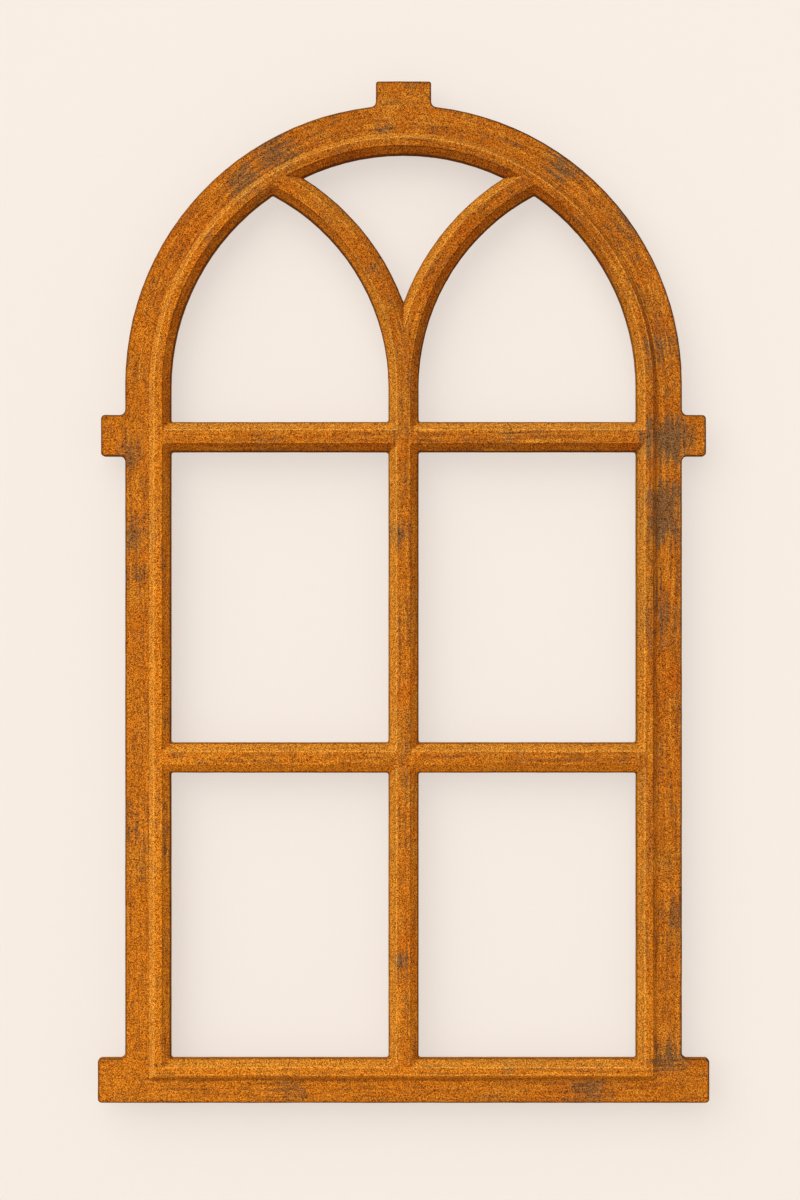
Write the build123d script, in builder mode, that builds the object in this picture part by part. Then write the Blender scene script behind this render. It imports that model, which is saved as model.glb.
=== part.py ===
from build123d import *
import os
from math import degrees, atan, sqrt

# Arched barn window frame, cast in iron in one pour: a flat wall flange with lugs, a raised
# moulding round the opening, a mullion, two transoms and two tracery bars that make pointed lights.
# Millimetres. +Z is up, and the front, the outdoor side, faces -Y. The plane Y = 0 is the flange's
# back, which lies on the wall, and it is also the seat that the glass is bedded on.

# Overall sizes
overall_height = 950.0
frame_width = 518.0
sill_length = 569.0
sill_height = 42.0
opening_width = 432.0
bar_width = 28.5
lower_light_height = 264.8
middle_light_height = 269.7
# Straight rise of the top lights before their arches spring
upper_straight = 32.0
# The head's outer curve is struck from a little higher, which thickens its crown
head_lift = 3.5

# Lugs that are built into the wall
side_lug_out = 22.5
side_lug_height = 39.0
side_lug_centre = 620.5
top_lug_width = 52.0
lug_corner_radius = 4.0
top_lug_corner_radius = 2.5
lug_root_radius = 5.0

# Section, from the wall plane forwards
flange_thickness = 9.0
moulding_thickness = 14.0
moulding_width = 20.0
outer_bevel_width = 4.5
inner_bevel = 8.0
# Rounding left by the sand mould in the corners of the lights and on the flange's front edge
light_corner_radius = 2.0
flange_arris_radius = 1.5

# Back of the casting: ribs round the glass
rib_height = 10.0
rebate_width = 10.0
rib_width = 8.0
rib_draft_angle = 4.0

# Heights and half widths that follow from the sizes above
half_frame = frame_width / 2
half_opening = opening_width / 2
light_width = (opening_width - bar_width) / 2
light_centre = (bar_width + light_width) / 2
lower_light_low = sill_height
middle_light_low = lower_light_low + lower_light_height + bar_width
upper_light_low = middle_light_low + middle_light_height + bar_width
springing = upper_light_low + upper_straight
moulding_rise = moulding_thickness - flange_thickness
edge_depth = moulding_thickness - inner_bevel
outer_bevel_angle = degrees(atan(outer_bevel_width / moulding_rise))
rib_outer_offset = rebate_width + rib_width
LEFT, RIGHT = -1, 1


def arched_outline(half_width, low, centre):
    """Straight sides from height low up to height centre, and a half circle over them."""
    with BuildLine() as outline:
        Polyline(
            (-half_width, centre), (-half_width, low), (half_width, low), (half_width, centre)
        )
        ThreePointArc(
            (half_width, centre), (0, centre + half_width), (-half_width, centre)
        )
    make_face(outline.edges())


def pointed_light(side, grow):
    """A top light: the head's inner curve on one side and a tracery bar's curve on the other.
    The bar's curve is struck from the springing point at the jamb, with the light's width as its
    radius, so the same arcs meet the mullion and the head. grow moves every edge outwards."""
    head_radius = half_opening + grow
    bar_radius = light_width + grow
    apex_x = (half_opening**2 + head_radius**2 - bar_radius**2) / (2 * half_opening)
    apex_z = sqrt(head_radius**2 - apex_x**2)
    jamb_x = half_opening + grow
    mullion_x = half_opening - bar_radius
    low = upper_light_low - grow
    with BuildLine() as outline:
        Polyline(
            (side * jamb_x, springing),
            (side * jamb_x, low),
            (side * mullion_x, low),
            (side * mullion_x, springing),
        )
        RadiusArc(
            (side * mullion_x, springing),
            (side * apex_x, springing + apex_z),
            side * bar_radius,
        )
        RadiusArc(
            (side * apex_x, springing + apex_z),
            (side * jamb_x, springing),
            side * head_radius,
        )
    make_face(outline.edges())


def top_light(grow):
    """The curved triangle between the tracery bars and the crown. grow moves its edges outwards."""
    head_radius = half_opening + grow
    bar_radius = light_width + bar_width - grow
    corner_x = (half_opening**2 + head_radius**2 - bar_radius**2) / (2 * half_opening)
    corner_z = sqrt(head_radius**2 - corner_x**2)
    foot_z = sqrt(bar_radius**2 - half_opening**2)
    with BuildLine() as outline:
        RadiusArc(
            (-corner_x, springing + corner_z), (corner_x, springing + corner_z), head_radius
        )
        RadiusArc(
            (corner_x, springing + corner_z), (0, springing + foot_z), -bar_radius
        )
        RadiusArc(
            (0, springing + foot_z), (-corner_x, springing + corner_z), -bar_radius
        )
    make_face(outline.edges())


def lights(grow):
    """All seven lights, each with its edges moved outwards by grow."""
    for side in (LEFT, RIGHT):
        for low, height in (
            (lower_light_low, lower_light_height),
            (middle_light_low, middle_light_height),
        ):
            with Locations((side * light_centre, low + height / 2)):
                Rectangle(light_width + 2 * grow, height + 2 * grow)
        pointed_light(side, grow)
    top_light(grow)


def runs_through_a_corner(edge):
    """Whether an edge runs from front to back in a light's corner: the bevel's mitre, or the upright
    corner behind it. The seams where the arches spring run that way too, and are left as they are,
    and so are the top light's three corners, which are sharp where the tracery bars branch off."""
    depth = edge.bounding_box().size.Y
    front_to_back = abs(depth - inner_bevel) < 0.01 or abs(depth - edge_depth) < 0.01
    place = edge.center()
    in_top_light = place.Z > springing + 1 and abs(place.X) < half_opening / 2
    return front_to_back and abs(place.Z - springing) > 1 and not in_top_light


with BuildPart() as cast_frame:
    # Wall flange with the sill and the lugs, plain plate with rounded corners
    with BuildSketch(Plane.XZ) as flange:
        arched_outline(half_frame, 0, springing + head_lift)
        with Locations((0, sill_height / 2)):
            Rectangle(sill_length, sill_height)
        with Locations((0, side_lug_centre)):
            Rectangle(frame_width + 2 * side_lug_out, side_lug_height)
        with Locations((0, overall_height)):
            Rectangle(top_lug_width, half_frame, align=(Align.CENTER, Align.MAX))
        fillet(flange.vertices().filter_by(lambda v: abs(v.X) > half_frame + 1), lug_corner_radius)
        fillet(flange.vertices().filter_by(lambda v: v.Y > overall_height - 1), top_lug_corner_radius)
        roots = flange.vertices().filter_by(
            lambda v: abs(abs(v.X) - half_frame) < 0.01 and v.Y < springing
            or abs(abs(v.X) - top_lug_width / 2) < 0.01 and v.Y < overall_height - lug_corner_radius - 1
        )
        fillet(roots, lug_root_radius)
    extrude(amount=flange_thickness)

    # Moulding, raised on the flange, with its outer edge drawn in by the outer bevel
    with BuildSketch(Plane.XZ.offset(flange_thickness)):
        arched_outline(
            half_opening + moulding_width, sill_height - moulding_width, springing
        )
    extrude(amount=moulding_rise, taper=outer_bevel_angle)

    # Back rib round the whole glazed area
    with BuildSketch(Plane.XZ):
        arched_outline(
            half_opening + rib_outer_offset, sill_height - rib_outer_offset, springing
        )
    extrude(amount=-rib_height, taper=rib_draft_angle)

    # Glass rebates, sunk between the ribs down to the wall plane and opening rearwards by the draft
    with BuildSketch(Plane.XZ):
        lights(rebate_width)
    extrude(amount=-rib_height, taper=-rib_draft_angle, mode=Mode.SUBTRACT)

    # The lights themselves, right through
    with BuildSketch(Plane.XZ.offset(moulding_thickness)):
        lights(0)
    extrude(amount=-moulding_thickness, mode=Mode.SUBTRACT)

    # Inner bevel round every light at 45 degrees, mitred in the corners
    with BuildSketch(Plane.XZ.offset(moulding_thickness)):
        lights(inner_bevel)
    extrude(amount=-inner_bevel, taper=45, mode=Mode.SUBTRACT)

    # Rounded corners in the lights, and a rounded front edge round the flange
    fillet(cast_frame.edges().filter_by(runs_through_a_corner), light_corner_radius)
    flange_face = cast_frame.faces().filter_by(
        lambda face: abs(face.bounding_box().min.Y + flange_thickness) < 0.01
        and abs(face.bounding_box().max.Y + flange_thickness) < 0.01
    )
    fillet(flange_face[0].outer_wire().edges(), flange_arris_radius)

cast_frame.part.label = "cast_frame"

os.makedirs("parts", exist_ok=True)
export_step(cast_frame.part, "parts/cast_frame.step")
print("cast_frame volume, litres:", round(cast_frame.part.volume / 1e6, 4))
print("cast_frame box:", cast_frame.part.bounding_box())
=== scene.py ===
# %% [markdown]
# # A rusted cast iron barn window
# The real window is one casting: iron was poured once into a sand mould, so the sill, the jambs, the round
# head, the bars and the lugs run into each other with soft roots and no joint. The packed model already holds
# its exact form. What it lacks is what the foundry and the weather gave it: blunt arrises, slightly wavy
# faces, a sandy skin and rust. So this lesson doesn't model the window again. It casts a skin over the packed
# solid, roughens it, and rusts it.

# %% Load the packed casting
import bpy
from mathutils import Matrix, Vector


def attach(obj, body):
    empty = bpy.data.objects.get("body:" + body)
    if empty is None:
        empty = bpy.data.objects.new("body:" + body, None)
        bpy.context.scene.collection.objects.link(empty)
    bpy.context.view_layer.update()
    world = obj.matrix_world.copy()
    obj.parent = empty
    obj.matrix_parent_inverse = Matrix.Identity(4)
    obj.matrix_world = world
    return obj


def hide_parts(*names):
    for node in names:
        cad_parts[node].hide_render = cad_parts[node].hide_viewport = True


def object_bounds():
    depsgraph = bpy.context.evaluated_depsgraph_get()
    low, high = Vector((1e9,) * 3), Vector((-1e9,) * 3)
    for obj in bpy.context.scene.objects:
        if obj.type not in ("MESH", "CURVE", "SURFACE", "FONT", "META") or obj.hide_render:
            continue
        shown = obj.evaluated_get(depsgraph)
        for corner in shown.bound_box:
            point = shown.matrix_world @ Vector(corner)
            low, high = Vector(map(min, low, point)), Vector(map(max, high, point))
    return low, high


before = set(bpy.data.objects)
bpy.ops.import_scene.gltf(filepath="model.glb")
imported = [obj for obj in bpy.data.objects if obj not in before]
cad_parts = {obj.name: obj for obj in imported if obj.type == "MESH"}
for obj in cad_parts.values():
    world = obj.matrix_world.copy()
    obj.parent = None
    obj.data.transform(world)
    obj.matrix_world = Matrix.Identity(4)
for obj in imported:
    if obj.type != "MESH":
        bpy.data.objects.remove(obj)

cad_box = [list(corner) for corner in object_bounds()]
print("packed box in metres:", cad_box)

# %% [markdown]
# ## The camera
# The photograph looks straight at the front from nearly two and a half metres, at about half the window's
# height. Its uprights are parallel, so a plain camera with no shift and no tilt repeats it, and a long focal
# length shows little of the members' sides. The sensor is fitted to the picture's height, because that is
# the side that the window fills.

# %% Stand the camera where the photograph was taken
PHOTO_HEIGHT = 1200
FOCAL_PIXELS = 2582.0
METRES_PER_PIXEL = 0.000929
SENSOR_HEIGHT = 24.0
EYE_HEIGHT = 0.4677
SIDE_STEP = -0.0033
FLANGE_FRONT = -0.009

photo_distance = FOCAL_PIXELS * METRES_PER_PIXEL
bpy.ops.object.select_all(action="DESELECT")
bpy.ops.object.camera_add(location=(SIDE_STEP, FLANGE_FRONT - photo_distance, EYE_HEIGHT))
camera = bpy.context.object
camera.name = "photo_camera"
camera.rotation_euler = Vector((0, 1, 0)).to_track_quat("-Z", "Y").to_euler()
camera.data.sensor_fit = "VERTICAL"
camera.data.sensor_height = SENSOR_HEIGHT
camera.data.lens = SENSOR_HEIGHT * FOCAL_PIXELS / PHOTO_HEIGHT
bpy.context.scene.camera = camera
print("camera stands", round(photo_distance, 3), "m off, with a lens of", round(camera.data.lens, 1), "mm")

# %% [markdown]
# ## The cast skin
# A copy of the packed mesh forgets its stored shading first, because that was made for other faces. Then it
# is welded, as it comes in loose triangles, and flat neighbours are joined. Its faces are now long and thin,
# and nothing can be pressed into them. Subdividing would keep them long and thin, and remeshing would melt
# the arrises. So planes cut it across every few millimetres, like a wire slicing clay, first along X and then
# along Z. The cuts leave each arris exactly where it was.

# %% Weld a copy of the casting and slice it into a fine net
NET = 0.005
WELD_DISTANCE = 0.00001
FLAT_ANGLE = 0.002
CUT_TOLERANCE = 0.000001


def take_hold_of(piece):
    """Makes a piece the only selected object and the active one."""
    bpy.ops.object.select_all(action="DESELECT")
    piece.select_set(True)
    bpy.context.view_layer.objects.active = piece


def slice_along(axis, start, end, step):
    """Cuts the piece in edit mode by planes square to an axis, every step from start to end."""
    square = [0.0, 0.0, 0.0]
    square[axis] = 1.0
    place = start + step
    while place < end:
        point = [0.0, 0.0, 0.0]
        point[axis] = place
        bpy.ops.mesh.select_all(action="SELECT")
        bpy.ops.mesh.bisect(plane_co=point, plane_no=square, threshold=CUT_TOLERANCE)
        place += step


take_hold_of(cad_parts["cast_frame"])
bpy.ops.object.duplicate()
skin = bpy.context.object
skin.name = "rusted_casting"
skin.data.name = "rusted_casting"
bpy.ops.mesh.customdata_custom_splitnormals_clear()
bpy.ops.object.mode_set(mode="EDIT")
bpy.ops.mesh.select_all(action="SELECT")
bpy.ops.mesh.remove_doubles(threshold=WELD_DISTANCE)
bpy.ops.mesh.dissolve_limited(angle_limit=FLAT_ANGLE)
for axis in (0, 2):
    slice_along(axis, cad_box[0][axis], cad_box[1][axis], NET)
bpy.ops.object.mode_set(mode="OBJECT")
print("skin has", len(skin.data.polygons), "faces")

# %% [markdown]
# ## Waves and lumps
# Cast faces are never flat. Two Displace modifiers with cloud textures push the skin inwards by a few tenths
# of a millimetre: broad waves from the wooden pattern, and small lumps from the sand and the rust. Both only
# push inwards, so the window keeps its size. A bump in the material could draw them too, but then they would
# be missing from the mesh. Faces meet in a sharp arris only past thirty degrees, and all others are shaded
# smooth.

# %% Push the waves and lumps into the skin
WAVE_DEPTH = 0.0003
WAVE_LENGTH = 0.045
LUMP_DEPTH = 0.0003
LUMP_LENGTH = 0.013
OCTAVES = 2
ARRIS_ANGLE = 0.52


def push_clouds(piece, name, length, depth):
    """Pushes a piece's surface inwards by 0 to depth, in clouds of about the given length."""
    clouds = bpy.data.textures.new(name, "CLOUDS")
    clouds.noise_scale = length
    clouds.noise_depth = OCTAVES
    push = piece.modifiers.new(name, "DISPLACE")
    push.texture = clouds
    push.texture_coords = "LOCAL"
    push.strength = depth
    push.mid_level = 1.0
    bpy.ops.object.modifier_apply(modifier=push.name)


take_hold_of(skin)
push_clouds(skin, "pattern_waves", WAVE_LENGTH, WAVE_DEPTH)
push_clouds(skin, "sand_lumps", LUMP_LENGTH, LUMP_DEPTH)
bpy.ops.object.shade_smooth_by_angle(angle=ARRIS_ANGLE)
skin.data.calc_loop_triangles()
print("skin keeps", len(skin.data.loop_triangles), "triangles")

# %% [markdown]
# ## Rust
# Rust is many browns at once, and each has its own scale. Broad clouds turn the iron from golden orange to
# red brown, thin streaks run along each member, patches a few centimetres wide have gone grey brown where
# the rust is old, and a sandy grain of light and dark specks lies over everything. All patterns read
# Object coordinates, so they run through the solid like its grain and don't stretch. Each scale gets its own
# noise, as one can't hold them all. That takes far more nodes than anyone wants to wire one by one, so two
# cells come first that give colours and nodes short names.

# %% Read a colour the way a screen shows it


def screen(red, green, blue):
    """A colour read off a screen, 0 to 255, as the linear colour that shaders use."""
    linear = []
    for channel in (red, green, blue):
        part = channel / 255
        linear.append(part / 12.92 if part <= 0.04045 else ((part + 0.055) / 1.055) ** 2.4)
    return (*linear, 1.0)


print("a middle grey on the screen is", round(screen(128, 128, 128)[0], 3), "in linear light")

# %% Give the nodes short names
# A Mix node also has sockets for numbers and vectors, so its colour sockets are found by these numbers.
MIX_AMOUNT = 0
MIX_UNDER = 6
MIX_OVER = 7
MIX_RESULT = 2


class Wiring:
    """The nodes of a material or of the world, and the colour that they have laid so far."""

    def __init__(self, owner, ground=None):
        owner.use_nodes = True
        self.owner = owner
        self.tree = owner.node_tree
        self.colour = ground

    def fill(self, node, inputs):
        """Fills a node's sockets from links or plain values."""
        for socket, value in inputs.items():
            if isinstance(value, bpy.types.NodeSocket):
                self.tree.links.new(value, node.inputs[socket])
            else:
                node.inputs[socket].default_value = value

    def node(self, kind, inputs=None, **settings):
        """Adds a node, sets its properties and fills its sockets."""
        node = self.tree.nodes.new(kind)
        for key, value in settings.items():
            setattr(node, key, value)
        self.fill(node, inputs or {})
        return node

    def coordinates(self, shift=(0, 0, 0)):
        """Object coordinates, shifted so that two noises of one scale don't match."""
        point = self.node("ShaderNodeTexCoord").outputs["Object"]
        return self.node("ShaderNodeMapping", {"Vector": point, "Location": shift}).outputs["Vector"]

    def clouds(self, size, shift=(0, 0, 0), detail=2.0, roughness=0.5):
        """A grey noise whose clouds are about size metres across."""
        inputs = {"Vector": self.coordinates(shift), "Scale": 1 / size}
        inputs.update({"Detail": detail, "Roughness": roughness})
        return self.node("ShaderNodeTexNoise", inputs).outputs["Fac"]

    def between(self, value, low, high, start=0.0, end=1.0):
        """Stretches the part of a value between low and high to start and end."""
        inputs = {"Value": value, "From Min": low, "From Max": high, "To Min": start, "To Max": end}
        return self.node("ShaderNodeMapRange", inputs).outputs["Result"]

    def math(self, operation, first, second=0.0):
        """One arithmetic step."""
        return self.node("ShaderNodeMath", {0: first, 1: second}, operation=operation).outputs[0]

    def product(self, *factors):
        """Several masks multiplied: the place where all of them are."""
        result = factors[0]
        for factor in factors[1:]:
            result = self.math("MULTIPLY", result, factor)
        return result

    def either(self, first, second):
        """The larger of two masks: the place where one of them is."""
        return self.math("MAXIMUM", first, second)

    def outside(self, mask):
        """The place where a mask isn't."""
        return self.math("SUBTRACT", 1.0, mask)

    def split(self, vector):
        """The X, Y and Z of a vector."""
        return self.node("ShaderNodeSeparateXYZ", {0: vector}).outputs

    def measure(self, operation, *vectors):
        """A number measured from vectors, such as a length or a distance."""
        inputs = dict(enumerate(vectors))
        return self.node("ShaderNodeVectorMath", inputs, operation=operation).outputs["Value"]

    def span(self, across, up):
        """The length of a sloping line from how far it goes across and up."""
        line = self.node("ShaderNodeCombineXYZ", {0: across, 1: up}).outputs[0]
        return self.measure("LENGTH", line)

    def mix(self, amount, under, over, blend="MIX"):
        """One colour over another by an amount."""
        inputs = {MIX_AMOUNT: amount, MIX_UNDER: under, MIX_OVER: over}
        return self.node("ShaderNodeMix", inputs, data_type="RGBA", blend_type=blend).outputs[MIX_RESULT]

    def lay(self, over, *masks):
        """Lays a colour over what is laid so far, in the place where all masks are."""
        self.colour = self.mix(self.product(*masks), self.colour, over)

    def join(self, amount, under, over):
        """One shader over another by an amount."""
        inputs = {0: amount, 1: under.outputs[0], 2: over.outputs[0]}
        return self.node("ShaderNodeMixShader", inputs)

    def shown(self):
        """1 for the rays that a picture shows: straight, mirrored, or through glass."""
        rays = self.node("ShaderNodeLightPath").outputs
        bent = self.either(rays["Is Glossy Ray"], rays["Is Transmission Ray"])
        return self.either(rays["Is Camera Ray"], bent)


print("a finish can now be wired with", sum(not name.startswith("_") for name in vars(Wiring)), "short calls")

# %% [markdown]
# ### Ground and zones
# Under everything lies a ground that wanders from brown over orange to gold. One noise would give it clouds
# of one size, so a broad one and a ragged small one are added up before the colours are mixed. Red, olive and
# dark speckled zones come over that. Each has its own noise, shifted to its own place, because zones that
# shared one would all lie on top of each other.

# %% Mix the ground of the rust, and lay three kinds of zones over it
ORANGE_RUST = screen(180, 98, 16)
GOLDEN_RUST = screen(208, 136, 38)
BROWN_RUST = screen(158, 86, 14)
RED_RUST = screen(176, 82, 8)
OLIVE_RUST = screen(166, 108, 32)
SPECKLED_RUST = screen(122, 60, 8)
ZONE_START = 0.52
# Each zone's colour, size in metres, shift, roughness, the noise at which it is full, and strength
ZONES = (
    (RED_RUST, 0.06, (9, 2, 0), 0.5, 0.66, 0.6),
    (OLIVE_RUST, 0.035, (2, 7, 0), 0.5, 0.68, 0.6),
    (SPECKLED_RUST, 0.0055, (5, 1, 0), 0.7, 0.70, 0.4),
)

rust = Wiring(bpy.data.materials.new("rusted_iron"), BROWN_RUST)


def tell(step):
    """Prints how far the rust is wired."""
    print("rust with", step, "has", len(rust.tree.nodes), "nodes")


point = rust.coordinates()
broad = rust.clouds(0.11, detail=3.0)
middle = rust.clouds(0.018, (3.1, 0, 0), detail=5.0, roughness=0.65)
tone = rust.math("ADD", rust.between(broad, 0.35, 0.65, -0.2, 0.2), rust.between(middle, 0.3, 0.7))
rust.lay(ORANGE_RUST, rust.between(tone, -0.1, 0.5))
rust.lay(GOLDEN_RUST, rust.between(tone, 0.6, 1.2, end=0.7))
for zone_colour, size, shift, roughness, full, strength in ZONES:
    zones = rust.clouds(size, shift, detail=4.0, roughness=roughness)
    rust.lay(zone_colour, rust.between(zones, ZONE_START, full, end=strength))
tell("ground and zones")

# %% [markdown]
# ### Where a point lies
# Much of the weathering keeps to a member of the window: the flange, the moulding, the sill or a bar. Painted
# masks could mark them, but they need an unwrapped surface and an image. This window's form is simple enough
# to be measured instead. Its head is struck from a centre at the springing height, so the distance from there
# says how far out a point lies, and below that height the distance from the middle line does. The tracery
# bars are struck from the springing points on the jambs in the same way. The direction a face is turned to
# comes from the Normal, which is -1 in Y where the face looks straight at the viewer. From here on, a pair
# of numbers says where a mask starts and where it is full.

# %% Find how far out a point lies, and which way its face is turned
SPRINGING = 0.6655
HALF_OPENING = 0.216
MOULDING_FOOT = 0.236
SILL_FOOT = 0.022
SOFT_EDGE = 0.001
SLOPING = (-0.95, -0.85)

place = rust.split(point)
depth = place["Y"]
off_centre = rust.math("ABSOLUTE", place["X"])
above = rust.math("MAXIMUM", rust.math("SUBTRACT", place["Z"], SPRINGING), 0.0)
head_reach = rust.span(off_centre, above)
bar_reach = rust.span(rust.math("SUBTRACT", off_centre, HALF_OPENING), above)
on_flange = rust.either(
    rust.between(head_reach, MOULDING_FOOT, MOULDING_FOOT + SOFT_EDGE),
    rust.between(place["Z"], SILL_FOOT, SILL_FOOT - SOFT_EDGE),
)
inside = rust.outside(on_flange)
facing = rust.node("ShaderNodeNewGeometry").outputs["Normal"]
turned = rust.split(facing)
tilt = turned["Y"]
slope = rust.between(tilt, *SLOPING)
tell("its measures")

# %% [markdown]
# ### Slow change across the window
# The rust is made a little brighter low down on the left, and browner high up on the right. A noise has no
# direction, so a slanting distance is measured here. It runs from -0.28 in the lower left corner to 0.7 on
# the upper right.

# %% Brighten the window towards its lower left corner, and brown it towards the upper right
SLANT = 0.6
BRIGHT_RUST = screen(222, 130, 22)
from_low_left = rust.math("ADD", place["X"], rust.product(place["Z"], SLANT))
rust.lay(BRIGHT_RUST, rust.between(from_low_left, 0.50, -0.15, end=0.45))
rust.lay(BROWN_RUST, rust.between(from_low_left, 0.10, 0.75, end=0.34))
tell("slow change across the window")

# %% [markdown]
# ### Streaks along the members
# Rain draws thin lines along each member. A noise whose coordinate is squeezed in one direction is drawn out
# that way, and gives such lines. They have to turn with the members, so there are three such noises, one for
# the mullion and the tracery bars, one for the jambs and the head, and one for the sill and the transoms.
# Masks choose between them. The streaks come and go in wide clouds, since lines that are equally strong all
# over look like planed wood, and they are faint on the lugs.

# %% Lay dark and golden streaks along the members
STREAK_WIDTH = 0.0024
STREAK_LENGTH = 0.050
HALF_BAR = 0.01425
SILL_TOP = 0.042
LUG_ROOT = 0.262
LUG_EDGE = 0.004
CRISP_EDGE = 0.0006
UNDER_THE_HEAD = (SPRINGING - 0.030, SPRINGING - 0.032)
ON_THE_SILL = (SILL_TOP, SILL_TOP - 0.0005)
# Dark for the streaks, and for a line of painted shade further down.
DARK_STREAK_AND_SHADE = screen(146, 76, 10)
right_half = rust.between(place["X"], -SOFT_EDGE, SOFT_EDGE)


def streaks(across, along):
    """A noise drawn out along a member, with other lines in the window's right half."""
    squeezed = rust.product(along, STREAK_WIDTH / STREAK_LENGTH)
    run = rust.node("ShaderNodeCombineXYZ", {0: across, 1: squeezed, 2: right_half}).outputs[0]
    noise = {"Vector": run, "Scale": 1 / STREAK_WIDTH, "Detail": 3.0}
    return rust.node("ShaderNodeTexNoise", noise).outputs["Fac"]


climb = rust.math("SUBTRACT", place["Z"], off_centre)
on_head = rust.between(head_reach, HALF_OPENING - CRISP_EDGE, HALF_OPENING)
on_transoms = rust.product(
    rust.between(off_centre, HALF_BAR, HALF_BAR + CRISP_EDGE),
    rust.outside(on_head),
    rust.between(place["Z"], *UNDER_THE_HEAD),
)
level = rust.either(on_transoms, rust.between(place["Z"], *ON_THE_SILL))
upright = rust.mix(on_head, streaks(bar_reach, climb), streaks(head_reach, climb))
streak = rust.mix(level, upright, streaks(place["Z"], place["X"]))
on_lug = rust.product(
    rust.between(head_reach, LUG_ROOT, LUG_ROOT + LUG_EDGE),
    rust.between(place["Z"], SILL_TOP, SILL_TOP + LUG_EDGE),
)
streaky = rust.product(
    rust.between(rust.clouds(0.05, (1, 6, 0)), 0.42, 0.58, 0.35, 1.0),
    rust.between(on_lug, 0.0, 1.0, 1.0, 0.2),
)
rust.lay(DARK_STREAK_AND_SHADE, streaky, rust.between(streak, 0.50, 0.68, end=0.6))
rust.lay(GOLDEN_RUST, streaky, rust.between(streak, 0.50, 0.32, end=0.5))
tell("streaks")

# %% [markdown]
# ### Old patches
# Here and there the rust is old and has gone grey brown, mostly on the flange and the lugs. A noise would
# scatter such patches anywhere, so each is put at its own place, with its reach and strength. The distance
# from its centre makes a round spot, and two things fray its edge: a rough noise, and the streaks.

# %% Lay grey brown patches, each at its own place with a ragged edge
# Each patch's X and Z, its reach and its strength
PATCHES = (
    (0.2457, 0.616, 0.024, 1.3), (0.240, 0.560, 0.022, 1.1), (0.240, 0.538, 0.020, 1.1),
    (0.240, 0.704, 0.018, 0.6), (-0.146, 0.856, 0.020, 0.9), (-0.118, 0.880, 0.022, 0.9),
    (0.147, 0.869, 0.020, 0.8), (0.212, 0.813, 0.024, 0.5), (-0.020, 0.9035, 0.012, 0.6),
    (-0.254, 0.603, 0.016, 0.8), (-0.251, 0.529, 0.024, 0.7), (-0.246, 0.492, 0.012, 0.8),
    (-0.004, 0.530, 0.014, 0.8), (-0.003, 0.133, 0.010, 1.0), (0.2345, 0.449, 0.030, 0.5),
    (0.2457, 0.044, 0.020, 0.9), (0.171, 0.016, 0.022, 0.7), (-0.107, 0.016, 0.018, 0.6),
    (0.249, 0.176, 0.014, 0.6), (0.095, 0.031, 0.010, 0.7), (-0.0275, 0.772, 0.010, 0.7),
    (-0.252, 0.25, 0.040, 0.35), (0.098, 0.622, 0.014, 0.5),
)
EDGE_OF_PATCH = 1.3
HEART_OF_PATCH = 0.2
OLD_RUST = screen(106, 77, 42)

rough = rust.clouds(0.010, (0, 4, 1), detail=6.0, roughness=0.75)
ragged = rust.product(rust.between(rough, 0.3, 0.7, -0.8, 0.8), 0.6)
frayed = rust.math("ADD", ragged, rust.between(streak, 0.35, 0.65, -0.4, 0.4))
old = 0.0
for x, z, reach, strength in PATCHES:
    gap = rust.measure("DISTANCE", point, (x, FLANGE_FRONT, z))
    spot = rust.between(gap, reach * EDGE_OF_PATCH, reach * HEART_OF_PATCH, end=strength)
    old = rust.either(old, spot)
rust.lay(OLD_RUST, rust.between(rust.math("ADD", old, frayed), 0.12, 0.85, end=0.85))
tell("old patches")

# %% [markdown]
# ### Moulding and flange
# The raised moulding is brighter than the flange behind it, most of all low down on the left, and turns brown
# towards the crown. Separate materials for the two would need a seam between faces of one casting, so masks
# from the measured distances lay the tones instead.

# %% Brighten the moulding's flat, and brown the flange and the crown
MOULDING_FLAT = (0.2225, 0.2235)
MOULDING_FLAT_AT_SILL = (0.0355, 0.0345)
FRONTAL = (-0.93, -0.97)

on_moulding = rust.product(
    inside,
    rust.either(
        rust.between(head_reach, *MOULDING_FLAT), rust.between(place["Z"], *MOULDING_FLAT_AT_SILL)
    ),
)
rust.lay(
    BRIGHT_RUST, on_moulding, rust.between(tilt, *FRONTAL, end=0.25), rust.between(from_low_left, 0.55, 0.15)
)
rust.lay(BROWN_RUST, on_flange, rust.between(from_low_left, 0.5, 0.1, end=0.2))
rust.lay(BROWN_RUST, on_moulding, rust.between(place["Z"], 0.80, 0.88, end=0.3))
tell("tones of moulding and flange")

# %% [markdown]
# ### Painted light and shade by the way a face looks
# The faces that look up and to the left, towards the light, get painted light: their rust is paler.
# Faces that look down, under the crown and the tracery bars, get painted shade that deepens higher up, and
# only low on the window are they painted bright, as if lit from below. The dot product of the Normal and a
# direction says how far a face looks that way. Along the front arris of each bevel the same sides get a
# painted highlight or a dark line of painted shade.

# %% Paint light and shade by the way a face looks, and along the bevels' front arris
LIGHT_SIDE = (-0.6, 0.0, 0.6)
LIGHT_ABOVE = (-0.45, 0.0, 0.75)
FRONT_ARRIS = (-0.0132, -0.0126)
OUTER_BEVEL = (0.2300, 0.2305)
PAINTED_HIGHLIGHT = screen(236, 164, 60)
PAINTED_DEEP_SHADE = screen(140, 64, 4)
PAINTED_SHADE_LINE = screen(74, 40, 10)

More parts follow.
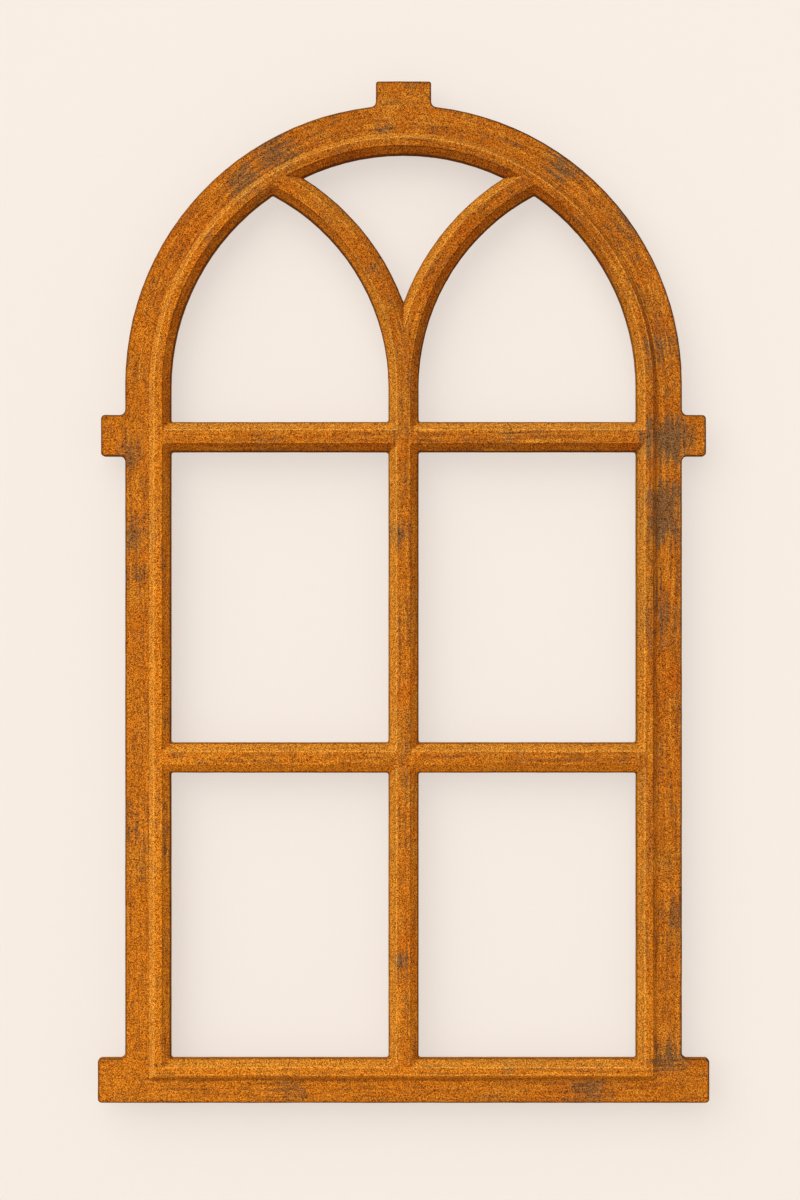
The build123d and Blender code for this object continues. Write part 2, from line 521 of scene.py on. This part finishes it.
facing_light = rust.measure("DOT_PRODUCT", facing, LIGHT_SIDE)
facing_upper_light = rust.measure("DOT_PRODUCT", facing, LIGHT_ABOVE)
arris = rust.product(slope, rust.between(depth, *FRONT_ARRIS, 1.0, 0.0))
# Painted light: faces that look up and to the left, towards the light, are paler.
rust.lay(GOLDEN_RUST, rust.between(facing_light, 0.1, 0.4, end=0.45))
# Painted shade: faces that look down are darker, the more so the higher they are.
rust.lay(PAINTED_DEEP_SHADE, rust.between(facing_upper_light, -0.02, -0.25), rust.between(place["Z"], 0.25, 0.90, end=0.5))
# Painted highlight on the lit side of each bevel's front arris, painted shade on the other side.
rust.lay(PAINTED_HIGHLIGHT, arris, rust.between(facing_light, 0.0, 0.3, end=0.42))
rust.lay(PAINTED_SHADE_LINE, arris, rust.between(facing_light, 0.0, -0.3, end=0.28))
# Painted highlight on the moulding's outer bevel, on the side towards the light.
rust.lay(
    PAINTED_HIGHLIGHT, on_moulding, slope, rust.between(head_reach, *OUTER_BEVEL),
    rust.between(facing_light, 0.1, 0.4), rust.between(place["Z"], 0.70, 0.55, 0.05, 0.15),
)
# Painted light from below: low on the window, faces that look down are brighter.
rust.lay(BRIGHT_RUST, rust.between(turned["Z"], -0.3, -0.6), rust.between(place["Z"], 0.50, 0.30, end=0.6))
tell("weather and sheltered sides")

# %% [markdown]
# ### Lines on the sill
# The moulding's lower arris gets a thin painted highlight, and a dark line of painted shade lies at its
# foot. Both are only a few millimetres wide and lie at one height all along the sill, so they are laid as
# colours between measured heights. The arris and the foot are shapes of the casting already.

# %% Paint the highlight on the arris and the shade at the foot of the moulding above the sill
SILL_ARRIS_LOW = (0.0262, 0.0266)
SILL_ARRIS_TOP = (0.0284, 0.0276)
SHADE_FOOT_TOP = (0.0255, 0.0235)
SHADE_FOOT_LOW = (0.0208, 0.0214)

sill_arris = rust.product(
    rust.between(place["Z"], *SILL_ARRIS_LOW), rust.between(place["Z"], *SILL_ARRIS_TOP, end=0.3)
)
# Painted highlight along the moulding's lower arris.
rust.lay(PAINTED_HIGHLIGHT, sill_arris, on_moulding, rust.between(tilt, *FRONTAL))
# Painted shade: a dark line at the moulding's foot.
rust.lay(
    PAINTED_SHADE_LINE, rust.between(off_centre, MOULDING_FOOT, MOULDING_FOOT - SOFT_EDGE),
    rust.between(place["Z"], *SHADE_FOOT_TOP, end=0.4), rust.between(place["Z"], *SHADE_FOOT_LOW),
)
tell("lines on the sill")

# %% [markdown]
# ### Painted highlights along the arrises
# Where two faces meet, a thin pale line is painted as a highlight. The Bevel node finds such places on any
# shape: near an arris it turns the Normal towards the neighbouring face, so wherever it tilts the Normal of
# a flat face, an arris is close. A wide radius makes a band of it. The line is drawn on the side that looks
# at the light, and all along the moulding's outer arris on the head's right, where a dark line of painted
# shade lies at its foot too.

# %% Paint highlights along the arrises that face the light
RIM_WIDTH = 0.0025
BEVEL_SAMPLES = 4
FLAT_FACE = (-0.95, -0.98)
BESIDE_ARRIS = (-0.996, -0.970)
TO_THE_LIGHT = (0.02, 0.10)
HEAD_START = (0.66, 0.72)
RIGHT_START = (0.0, 0.04)
HEAD_ARRIS = (0.2290, 0.2300)
HEAD_FOOT_IN = (0.2335, 0.2350)
HEAD_FOOT_OUT = (0.2370, 0.2362)
HEAD_FOOT_STRENGTH = 0.35


def rounded_normal(radius):
    """The Normal as if all arrises were rounded by a radius."""
    return rust.node("ShaderNodeBevel", {"Radius": radius}, samples=BEVEL_SAMPLES).outputs["Normal"]


near_rim = rounded_normal(RIM_WIDTH)
rim_tilt = rust.split(near_rim)["Y"]
rim_facing_light = rust.measure("DOT_PRODUCT", near_rim, LIGHT_SIDE)
lit_side = rust.between(rim_facing_light, *TO_THE_LIGHT, end=0.4)
head_side = rust.product(
    rust.between(place["Z"], *HEAD_START), rust.between(place["X"], *RIGHT_START)
)
head_arris = rust.product(head_side, rust.between(head_reach, *HEAD_ARRIS, end=0.8))
# Painted highlight beside the arrises.
rust.lay(
    PAINTED_HIGHLIGHT, inside, rust.between(tilt, *FLAT_FACE), rust.between(rim_tilt, *BESIDE_ARRIS),
    rust.either(lit_side, head_arris),
)
head_foot = rust.product(
    rust.between(head_reach, *HEAD_FOOT_IN), rust.between(head_reach, *HEAD_FOOT_OUT)
)
# Painted shade: a dark line at the foot of the head's outer arris on the right.
rust.lay(DARK_STREAK_AND_SHADE, head_foot, head_side, HEAD_FOOT_STRENGTH)
tell("worn arrises")

# %% [markdown]
# ### Sandy grain
# The mould's sand left the skin grainy, and rust darkens and brightens it grain by grain. A noise is too soft
# for that. A Voronoi texture gives each grain its own flat value, and multiplying keeps the colour under it,
# where mixing would grey it.

# %% Darken or brighten the rust grain by grain
GRAIN_SIZE = 0.00055
DARK_GRAIN = (0.26, 0.15, 0.03, 1.0)
PALE_GRAIN = (1.74, 1.90, 2.6, 1.0)

grains = rust.node("ShaderNodeTexVoronoi", {"Vector": point, "Scale": 1 / GRAIN_SIZE})
grain = rust.node("ShaderNodeSeparateColor", {0: grains.outputs["Color"]}).outputs[0]
grain_colour = rust.mix(rust.between(grain, 0.15, 0.85), DARK_GRAIN, PALE_GRAIN)
rust.colour = rust.mix(1.0, rust.colour, grain_colour, blend="MULTIPLY")
tell("grain")

# %% [markdown]
# ### Painted dark rims
# A dark line of painted shade runs along the flange's outer edge and the back edge of each opening. The
# flange's edge runs round lugs and roots, so the Bevel node finds it, and the openings' edge lies at one
# depth, so the depth does. The rims are laid after the grain, which would break up such thin lines. They
# fade towards the back and on faces that look towards the light.

# %% Paint shade along the flange's outer edge and the openings' back edge
BESIDE_RIM = (-0.997, -0.97)
OPENING_EDGE = (-0.0074, -0.0068)
BACK_PART = (-0.006, 0.002)

flange_rim = rust.product(on_flange, rust.between(rim_tilt, *BESIDE_RIM, end=0.95))
opening_rim = rust.product(inside, rust.between(depth, *OPENING_EDGE, end=0.8), slope)
fading = rust.between(depth, *BACK_PART, 1.0, 0.4)
lit_fade = rust.product(rust.between(facing_light, 0.2, 0.6, 1.0, 0.55), rust.between(tilt, 0.3, 0.6, 1.0, 0.25))
# Painted shade along the rims.
rust.lay(PAINTED_SHADE_LINE, rust.either(flange_rim, opening_rim), fading, lit_fade)
tell("damp rims")

# %% [markdown]
# ### Sheen and relief
# Rust is dull, and only its finest lumps catch a little light. Roughness follows a fine noise, the bump lifts
# that noise and the grains by a fraction of a millimetre, and a second Bevel node rounds the arrises for the
# light. Bevelled edges in the mesh would do the same with many times its faces.

# %% Wire the rust to the shader, and put it on the casting
FINE_SIZE = 0.0042
GRAIN_HEIGHT = 0.0006
ARRIS_RADIUS = 0.0005

fine = rust.clouds(FINE_SIZE, (0, 5.3, 0), detail=3.0, roughness=0.6)
relief = rust.math("ADD", rust.product(fine, 0.6), rust.product(grain, 0.4))
bump = rust.node("ShaderNodeBump", {
    "Height": relief, "Strength": 0.3, "Distance": GRAIN_HEIGHT, "Normal": rounded_normal(ARRIS_RADIUS),
})
rust.fill(rust.tree.nodes["Principled BSDF"], {
    "Base Color": rust.colour, "Metallic": 0.0, "Specular IOR Level": 0.05,
    "Roughness": rust.between(fine, 0.3, 0.7, 0.75, 0.95), "Normal": bump.outputs["Normal"],
})

skin.data.materials.clear()
skin.data.materials.append(rust.owner)
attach(skin, "root")
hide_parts("cast_frame")
print("the casting is rusted with", len(rust.tree.nodes), "nodes")

# %% [markdown]
# ## Wall and floor
# The window hangs close in front of a pale plastered wall, so soft shade gathers beside its members. A plane
# standing a little behind the back ribs gives that: the gap sets how wide the shade spreads. Its material
# lets rays from behind pass, and it casts no shadow, so the back of the casting can still be seen and lit. In
# the picture it shows its own colour with a third of the shade. A wide pale floor lies lower down, under the
# photograph's lower edge. Both give back less light than they show, so the rust isn't washed out.

# %% Mix the plaster of the wall and of the floor
PALE_WALL = screen(246, 237, 229)
LIT_WALL = screen(241, 231, 222)
DIM_WALL = screen(140, 130, 120)
PALE_FLOOR = screen(226, 221, 214)
DIM_FLOOR = screen(212, 204, 195)
SHADE_LEFT_OUT = 0.65


def plaster(name, shown_colour, dim_colour):
    """Matt plaster that has one colour in the picture, and a dimmer one for the light it gives back."""
    wiring = Wiring(bpy.data.materials.new(name))
    wiring.fill(wiring.tree.nodes["Principled BSDF"], {
        "Base Color": wiring.mix(wiring.shown(), dim_colour, shown_colour),
        "Roughness": 0.95, "Specular IOR Level": 0.0,
    })
    return wiring


def clear_from_behind(wiring, own_colour):
    """Lets plaster show its own colour with part of its shade, and takes away its back."""
    share = wiring.product(wiring.shown(), SHADE_LEFT_OUT)
    glow = wiring.node("ShaderNodeEmission", {"Color": own_colour, "Strength": 1.0})
    front = wiring.join(share, wiring.tree.nodes["Principled BSDF"], glow)
    behind = wiring.node("ShaderNodeNewGeometry").outputs["Backfacing"]
    both = wiring.join(behind, front, wiring.node("ShaderNodeBsdfTransparent"))
    wiring.fill(wiring.tree.nodes["Material Output"], {"Surface": both.outputs[0]})


wall_plaster = plaster("pale_plaster", LIT_WALL, DIM_WALL)
clear_from_behind(wall_plaster, PALE_WALL)
floor_plaster = plaster("pale_floor", PALE_FLOOR, DIM_FLOOR)
print("plaster is mixed for", wall_plaster.owner.name, "and", floor_plaster.owner.name)

# %% Put up the wall and lay the floor
WALL_PLANE = 0.026
WALL_SIZE = 3.6
FLOOR_HEIGHT = -0.32
FLOOR_SIZE = 60.0
QUARTER_TURN = 1.5707963


def stage_plane(name, size, location, rotation, wiring):
    """Adds a plane for the studio."""
    bpy.ops.object.select_all(action="DESELECT")
    bpy.ops.mesh.primitive_plane_add(size=size, location=location, rotation=rotation)
    piece = bpy.context.object
    piece.name = name
    piece.data.materials.append(wiring.owner)
    bpy.ops.object.transform_apply(location=True, rotation=True, scale=True)
    print(name, "is", size, "m wide")
    return piece


wall_centre = (0, WALL_PLANE, FLOOR_HEIGHT + WALL_SIZE / 2)
wall = stage_plane("wall", WALL_SIZE, wall_centre, (QUARTER_TURN, 0, 0), wall_plaster)
wall.visible_shadow = False
stage_plane("floor", FLOOR_SIZE, (0, 0, FLOOR_HEIGHT), (0, 0, 0), floor_plaster)

# %% [markdown]
# ## Light
# The photograph has one large soft light high on the left and a bright room around it. A sun lamp with a wide
# disc gives the first: its shade has no edge, and it lights the whole wall alike. A second one shines from
# behind for views of the back. The world gives the rest. They add up to a plain level on the front, so a
# colour shows about as it is written.

# %% Light the window
KEY_DIRECTION = Vector((-0.38, -0.77, 0.51))
KEY_STRENGTH = 2.15
BACK_DIRECTION = Vector((0.45, 0.70, 0.55))
BACK_STRENGTH = 1.6
LAMP_DISC = 1.2
LAMP_DISTANCE = 3
ROOM_COLOUR = (1.0, 0.975, 0.94, 1.0)
ROOM_LIGHT = 0.525


def soft_sun(name, direction, strength):
    """A sun lamp that shines from a direction, with a wide disc."""
    bpy.ops.object.light_add(type="SUN", location=direction * LAMP_DISTANCE)
    lamp = bpy.context.object
    lamp.name = name
    lamp.rotation_euler = direction.to_track_quat("Z", "Y").to_euler()
    lamp.data.energy = strength
    lamp.data.angle = LAMP_DISC
    print(name, "shines with a strength of", strength)


soft_sun("key_light", KEY_DIRECTION, KEY_STRENGTH)
soft_sun("back_light", BACK_DIRECTION, BACK_STRENGTH)

# %% Brighten the room, and hang the wall's colour behind everything
studio = Wiring(bpy.data.worlds.new("studio"))
room = studio.tree.nodes["Background"]
studio.fill(room, {"Color": ROOM_COLOUR, "Strength": ROOM_LIGHT})
backdrop = studio.node("ShaderNodeBackground", {"Color": PALE_WALL})
surround = studio.join(studio.shown(), room, backdrop)
studio.fill(studio.tree.nodes["World Output"], {"Surface": surround.outputs[0]})
bpy.context.scene.world = studio.owner
bpy.context.scene.view_settings.view_transform = "Standard"
print("the room shines with a strength of", ROOM_LIGHT)

# %% [markdown]
# ## Sizes
# The waves and lumps are only a few tenths of a millimetre deep, so the skin's box should stay that close to
# the packed one.
